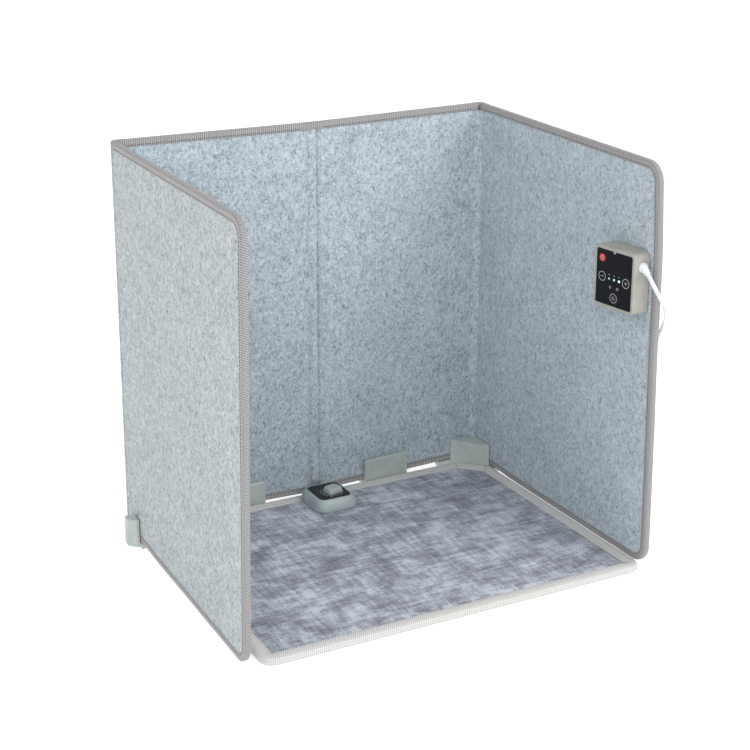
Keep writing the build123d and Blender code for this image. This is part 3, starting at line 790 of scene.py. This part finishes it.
def make_cover():
    """The plush top: a crowned skin, its edge rolled under the binding, and slightly uneven."""
    base, crown = 0.0060, 0.0022
    low, high = MAT_LOW, MAT_HIGH
    rim = [place for place, inward in mat_path(0.0135)]
    count = len(rim)
    centre = Vector(((low.x + high.x) / 2, (low.y + high.y) / 2, 0))
    shares = [0.0, 0.012, 0.03, 0.06] + [0.10 + 0.9 * i / 26 for i in range(26)]
    points = []
    for share in shares:
        for p in rim:
            q = p.lerp(centre, share)
            lift = crown * smooth_step(share / 0.05)
            ripple = 0.0004 * noise.noise(Vector((q.x * 22, q.y * 22, 1.0)))
            lift += ripple * smooth_step(share / 0.1)
            points.append(Vector((q.x, q.y, base + lift)))
    faces = grid_faces(len(shares), count, closed=True)
    middle = len(points)
    points.append(Vector((centre.x, centre.y, base + crown)))
    last = (len(shares) - 1) * count
    faces += [(last + i, last + (i + 1) % count, middle) for i in range(count)]
    under = len(points)
    points += [Vector((p.x, p.y, base - 0.0002)) for p in rim]
    faces += [(i, under + i, under + (i + 1) % count, (i + 1) % count) for i in range(count)]
    faces.append(tuple(under + i for i in reversed(range(count))))
    cover = mesh_piece("mat_plush_cover", points, faces, PLUSH, "mat")
    fix_normals(cover)
    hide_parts("mat_cover")


make_mat()
make_cover()


# ---------------------------------------------------------------- lead
COIL_CENTRE = Vector((0.371, -0.058, 0))
COIL_RADIUS = 0.036
COIL_PITCH = 0.0063
COIL_LAYERS = (0.0032, 0.0094, 0.0154)
COIL_INWARD_TURNS = 2.5
# Places along the lead, mm: from the strain relief down to the coil, and from the coil to the plug
LEAD_RUN = [
    (280.284, -234.390, 435.228), (280.296, -241.167, 429.933), (281.4, -245.8, 423.7),
    (283.9, -250.0, 416.0), (288.0, -252.6, 407.8), (293.3, -253.4, 399.2), (299.3, -251.6, 389.5),
    (304.8, -247.6, 379.6), (308.9, -241.6, 369.0), (311.2, -234.2, 357.0), (312.2, -225.5, 343.0),
    (312.6, -216.5, 326.0), (312.8, -208.5, 303.0), (313.0, -203.0, 273.0), (313.2, -198.8, 238.0),
    (313.6, -195.0, 200.0), (314.2, -191.0, 160.0), (315.6, -186.5, 120.0), (318.2, -180.0, 84.0),
    (322.0, -171.0, 52.0), (327.0, -158.0, 25.0), (331.6, -141.0, 8.5), (334.6, -122.0, 3.2),
    (335.4, -101.0, 3.2), (335.2, -80.4, 3.2),
]
LEAD_TAIL = [
    (335.0, -35.4, 15.2), (335.3, -22.0, 14.6), (336.8, -6.0, 11.6), (339.4, 10.0, 8.8),
    (342.2, 26.0, 8.0), (343.2, 40.0, 8.6),
]


def coil_points():
    """Turns laid inwards on the floor, outwards on top of them, and once round on top of those."""
    points = []
    per_turn = 18
    spiral = 2 * COIL_INWARD_TURNS
    low, middle, high = COIL_LAYERS
    for i in range(1, int((spiral + 1) * per_turn)):
        turn = i / per_turn
        if turn <= spiral:
            radius = COIL_RADIUS - COIL_PITCH * min(turn, spiral - turn)
            z = low + (middle - low) * smooth_step((turn - COIL_INWARD_TURNS) / 0.3 + 0.5)
        else:
            last = turn - spiral
            radius = COIL_RADIUS - 0.0030 * smooth_step(last / 0.2) * smooth_step((1 - last) / 0.2)
            z = middle + (high - middle) * smooth_step((last - 0.06) / 0.16)
        angle = math.pi - 2 * math.pi * turn
        points.append(COIL_CENTRE + Vector((radius * math.cos(angle), radius * math.sin(angle), z)))
    return points


def make_lead():
    curve = bpy.data.curves.new("lead", "CURVE")
    curve.dimensions = "3D"
    curve.bevel_depth = CORD / 2
    curve.bevel_resolution = 5
    curve.resolution_u = 8
    curve.use_fill_caps = True
    route = [Vector(p) * MM for p in LEAD_RUN] + coil_points() + [Vector(p) * MM for p in LEAD_TAIL]
    spline = curve.splines.new("NURBS")
    spline.points.add(len(route) - 1)
    for point, place in zip(spline.points, route):
        point.co = (*place, 1)
    spline.order_u = 3
    spline.use_endpoint_u = True
    curve.materials.append(LEAD_WHITE)
    lead = bpy.data.objects.new("lead", curve)
    bpy.context.scene.collection.objects.link(lead)
    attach(lead, "right_wing")
    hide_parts("lead_run", "lead_coil")


make_lead()


# ---------------------------------------------------------------- marks on the controllers
def arc_shape(x, y, outer, inner, start=0, end=360, steps=28):
    """A flat ring, or part of one, as a list of outlines."""
    def spot(radius, angle):
        return x + radius * math.cos(angle), y + radius * math.sin(angle)

    quads = []
    for i in range(steps):
        a, b = (math.radians(start + (end - start) * k / steps) for k in (i, i + 1))
        quads.append([spot(outer, a), spot(outer, b), spot(inner, b), spot(inner, a)])
    return quads


def disc_shape(x, y, radius, sides):
    """A flat disc as a list of one outline."""
    angles = [math.radians(360 // sides * k) for k in range(sides)]
    return [[(x + radius * math.cos(a), y + radius * math.sin(a)) for a in angles]]


def bar_shape(x, y, width, height):
    return [[(x - width / 2, y - height / 2), (x + width / 2, y - height / 2),
             (x + width / 2, y + height / 2), (x - width / 2, y + height / 2)]]


def marks(name, shapes, plane, height, material, body):
    """Thin raised prints on a face; the plane is (origin, x direction, y direction, normal)."""
    origin, across, up, normal = plane
    points, faces = [], []
    for outline in shapes:
        first, count = len(points), len(outline)
        for lift in (-0.00005, height):
            points += [origin + across * (x * MM) + up * (y * MM) + normal * lift
                       for x, y in outline]
        faces.append(tuple(first + i for i in reversed(range(count))))
        faces.append(tuple(first + count + i for i in range(count)))
        for i in range(count):
            j = (i + 1) % count
            faces.append((first + i, first + j, first + count + j, first + count + i))
    return mesh_piece(name, points, faces, material, body, smooth=False)


def wall_spot(u, v):
    """A place on the wall controller's face, as shares across and up, in mm from its middle."""
    return (u - 0.5) * WALL_FACE[0], (v - 0.5) * WALL_FACE[1]


def make_wall_marks():
    across = Vector((0.1582, -0.9874, 0)).normalized()      # the face is turned 9 degrees
    normal = Vector((-0.9874, -0.1582, 0)).normalized()
    points = [v.co for v in nodes["wall_control_face"].data.vertices]
    middle = sum(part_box("wall_control_face"), Vector()) / 2
    surface = max(p.dot(normal) for p in points)
    plane = (middle + normal * (surface - middle.dot(normal)), across, UP, normal)

    def put(name, shapes, height, material):
        marks(name, shapes, plane, height, material, "right_wing")

    x, y = wall_spot(0.16, 0.84)
    put("power_disc", disc_shape(x, y, 5.6, 30), 0.0004, PRINT_RED)
    power = arc_shape(x, y, 3.1, 2.4, 120, 420, 22) + bar_shape(x, y + 2.3, 0.7, 3.0)
    put("power_mark", power, 0.0006, PRINT_GREY)
    key = (6.6, 6.0)
    x, y = wall_spot(0.17, 0.50)
    shapes = arc_shape(x, y, *key) + bar_shape(x, y, 5.0, 0.7)
    x, y = wall_spot(0.84, 0.49)
    shapes += arc_shape(x, y, *key) + bar_shape(x, y, 5.0, 0.7)
    shapes += bar_shape(x, y + 1.6, 0.7, 1.8) + bar_shape(x, y - 1.6, 0.7, 1.8)
    x, y = wall_spot(0.51, 0.15)
    shapes += arc_shape(x, y, *key) + arc_shape(x, y, 2.6, 2.0, 90, 360, 16)
    shapes += bar_shape(x + 0.3, y + 1.2, 0.6, 2.6)
    for u in (0.37, 0.51, 0.65):
        shapes += bar_shape(*wall_spot(u, 0.565), 2.6, 0.6)
    for u in (0.41, 0.61):
        shapes += arc_shape(*wall_spot(u, 0.34), 1.9, 1.4, steps=16)
    put("key_marks", shapes, 0.0002, PRINT_GREY)
    leds = (("first", 0.37, PRINT_GREY), ("second", 0.51, LED_CYAN), ("third", 0.65, LED_WHITE))
    for name, u, material in leds:
        dot = disc_shape(*wall_spot(u, 0.49), 1.7, 18)
        put(f"{name}_led", dot, 0.0003, material)
    tab = [[(-2.6, 38.4), (-1.7, 35.6), (1.7, 35.6), (2.6, 38.4)]]
    put("face_tab", tab, 0.0003, WALL_PLASTIC)


def rounded_loop(centre, half_x, half_y, radius, z, turn=0.0, count=12):
    """A rounded rectangle's points at a height, anticlockwise."""
    points = []
    for sx, sy, first in ((1, 1, 0), (-1, 1, 90), (-1, -1, 180), (1, -1, 270)):
        for i in range(count + 1):
            a = math.radians(first + 90 * i / count)
            x = sx * (half_x - radius) + radius * math.cos(a)
            y = sy * (half_y - radius) + radius * math.sin(a)
            c, t = math.cos(math.radians(turn)), math.sin(math.radians(turn))
            points.append(Vector((centre.x + x * c - y * t, centre.y + x * t + y * c, z)))
    return points


def loft(name, loops, material, body):
    """A closed solid through loops of points, with flat ends."""
    piece = sweep(name, loops, [loop[0].z for loop in loops], material, body)
    fix_normals(piece)
    return piece


# The mat controller's sections, mm: height above the foot, and how far out of the CAD's wall;
# for the knob, its half width there
BOX_SECTION = [(0.0, 1.6), (0.8, 2.4), (3.2, 2.3), (7.0, 1.6), (10.5, 0.4), (13.4, -1.2),
               (15.6, -3.0), (17.0, -4.6), (17.9, -6.0), (18.1, -6.6), (17.9, -7.0), (16.9, -7.2)]
KNOB_SECTION = [(-0.7, 12.9), (0.2, 13.1), (3.0, 12.7), (5.2, 12.2), (6.4, 11.6), (7.0, 10.6),
                (7.3, 9.0), (7.2, 4.0)]


def make_mat_controller():
    low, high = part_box("mat_control_housing")
    centre, half = (low + high) / 2, ((high.x - low.x) / 2, (high.y - low.y) / 2)
    loops = [rounded_loop(centre, half[0] + out * MM, half[1] + out * MM, (16 + out) * MM,
                          low.z + height * MM) for height, out in BOX_SECTION]
    housing = loft("mat_controller_shell", loops, MAT_PLASTIC, "mat")
    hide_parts("mat_control_housing")
    low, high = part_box("mat_control_knob")
    centre = (low + high) / 2
    loops = [rounded_loop(centre, size * MM, size * 0.86 * MM, size * 0.52 * MM,
                          low.z + height * MM, KNOB_TURN) for height, size in KNOB_SECTION]
    knob = loft("mat_controller_knob", loops, MAT_PLASTIC, "mat_knob")
    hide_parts("mat_control_knob")
    face_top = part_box("mat_control_face")[1].z
    x_way, y_way = Vector((1, 0, 0)), Vector((0, 1, 0))
    plane = (Vector((centre.x, centre.y, face_top)), x_way, y_way, UP)
    shapes = arc_shape(0, 0, 15.6, 15.1, 0, 360, 48)
    for k in range(9):
        angle = math.radians(84 + 19 * k)
        shapes += disc_shape(18.6 * math.cos(angle), 18.6 * math.sin(angle), 0.55 + 0.10 * k, 12)
    marks("scale_marks", shapes, plane, 0.00015, PRINT_GREY, "mat")
    turned = Matrix.Rotation(math.radians(KNOB_TURN), 3, "Z")
    top = Vector((centre.x, centre.y, low.z + 0.0072))
    plane = (top, turned @ x_way, turned @ y_way, UP)
    marks("knob_pointer", bar_shape(-6.2, 0, 5.0, 1.0), plane, 0.0002, PRINT_GREY,
          "mat_knob")


make_wall_marks()
make_mat_controller()


# ---------------------------------------------------------------- finishes on the CAD nodes
FINISHES = {
    "support_plastic": SUPPORT, "mat_foam": FOAM, "foil": FOIL_METAL, "heating_wire": WIRE,
    "mat_backing": BACKING, "mat_control_plastic": MAT_PLASTIC, "face_black": BLACK,
    "circuit_board": BOARD, "metal": STEEL, "wall_control_plastic": WALL_PLASTIC,
    "relay_plastic": RELAY, "led_lens": LENS, "lead_white": LEAD_WHITE, "pins": BRASS,
    "felt_inner": FELT_INNER, "felt_outer": FELT_OUTER, "core_board": CORE,
    "heating_film": FILM_BLACK, "screen_binding": TAPE_GREY, "mat_plush": PLUSH,
    "mat_binding": TAPE_IVORY,
}


def finish_nodes():
    for entry in frame["record"]["subparts"]:
        node = nodes[entry["node"]]
        node.data.materials.clear()
        node.data.materials.append(FINISHES[entry["material_slot"]])


finish_nodes()


# ---------------------------------------------------------------- floor, light and camera
def make_stage():
    mesh = bpy.data.meshes.new("floor")
    reach = 30
    corners = [(-reach, -reach, 0), (reach, -reach, 0), (reach, reach, 0), (-reach, reach, 0)]
    mesh.from_pydata(corners, [], [(0, 1, 2, 3)])
    floor = bpy.data.objects.new("floor", mesh)
    bpy.context.scene.collection.objects.link(floor)
    made = Material("floor_white", roughness=0.9)
    paper = made.noise(3, 2, 0.5)
    made.colour(made.mix(paper, (0.90, 0.90, 0.90), (0.86, 0.86, 0.86)))
    made.shader.inputs["Emission Color"].default_value = (1, 1, 1, 1)
    made.shader.inputs["Emission Strength"].default_value = 0.42
    mesh.materials.append(made.material)


def area_light(name, place, target, size, power, colour):
    data = bpy.data.lights.new(name, "AREA")
    data.shape = "RECTANGLE"
    data.size, data.size_y = size
    data.energy = power
    data.color = colour
    light = bpy.data.objects.new(name, data)
    bpy.context.scene.collection.objects.link(light)
    light.location = place
    away = Vector(place) - Vector(target)
    light.rotation_euler = away.to_track_quat("Z", "Y").to_euler()


def make_camera():
    """The camera stands to the front left and above, looking right and down."""
    yaw, pitch, roll = 0.496, 0.317, 0.004      # radians
    place = Vector((-1.0750, -1.9902, 1.0953))
    forward = Vector((math.sin(yaw) * math.cos(pitch), math.cos(yaw) * math.cos(pitch),
                      -math.sin(pitch)))
    level = Vector((math.cos(yaw), -math.sin(yaw), 0))
    raised = level.cross(forward)
    right = level * math.cos(roll) + raised * math.sin(roll)
    up = raised * math.cos(roll) - level * math.sin(roll)
    data = bpy.data.cameras.new("camera")
    data.sensor_width = 36
    data.lens = 82.6
    data.shift_x = -0.0057
    data.shift_y = -0.08
    camera = bpy.data.objects.new("camera", data)
    bpy.context.scene.collection.objects.link(camera)
    camera.matrix_world = Matrix((
        (right.x, up.x, -forward.x, place.x),
        (right.y, up.y, -forward.y, place.y),
        (right.z, up.z, -forward.z, place.z),
        (0, 0, 0, 1),
    ))
    bpy.context.scene.camera = camera


def make_light():
    world = bpy.data.worlds.new("studio")
    world.use_nodes = True
    background = world.node_tree.nodes["Background"]
    background.inputs["Color"].default_value = (1, 1, 1, 1)
    background.inputs["Strength"].default_value = 0.85
    bpy.context.scene.world = world
    bpy.context.scene.view_settings.view_transform = "Standard"
    area_light("key", (1.6, -1.6, 2.4), (0, 0, 0.2), (1.6, 1.6), 38, (1.0, 0.99, 0.97))
    area_light("front", (-1.8, -2.4, 1.6), (0, 0, 0.3), (1.8, 1.4), 22, (0.97, 0.99, 1.0))


make_stage()
make_light()
make_camera()
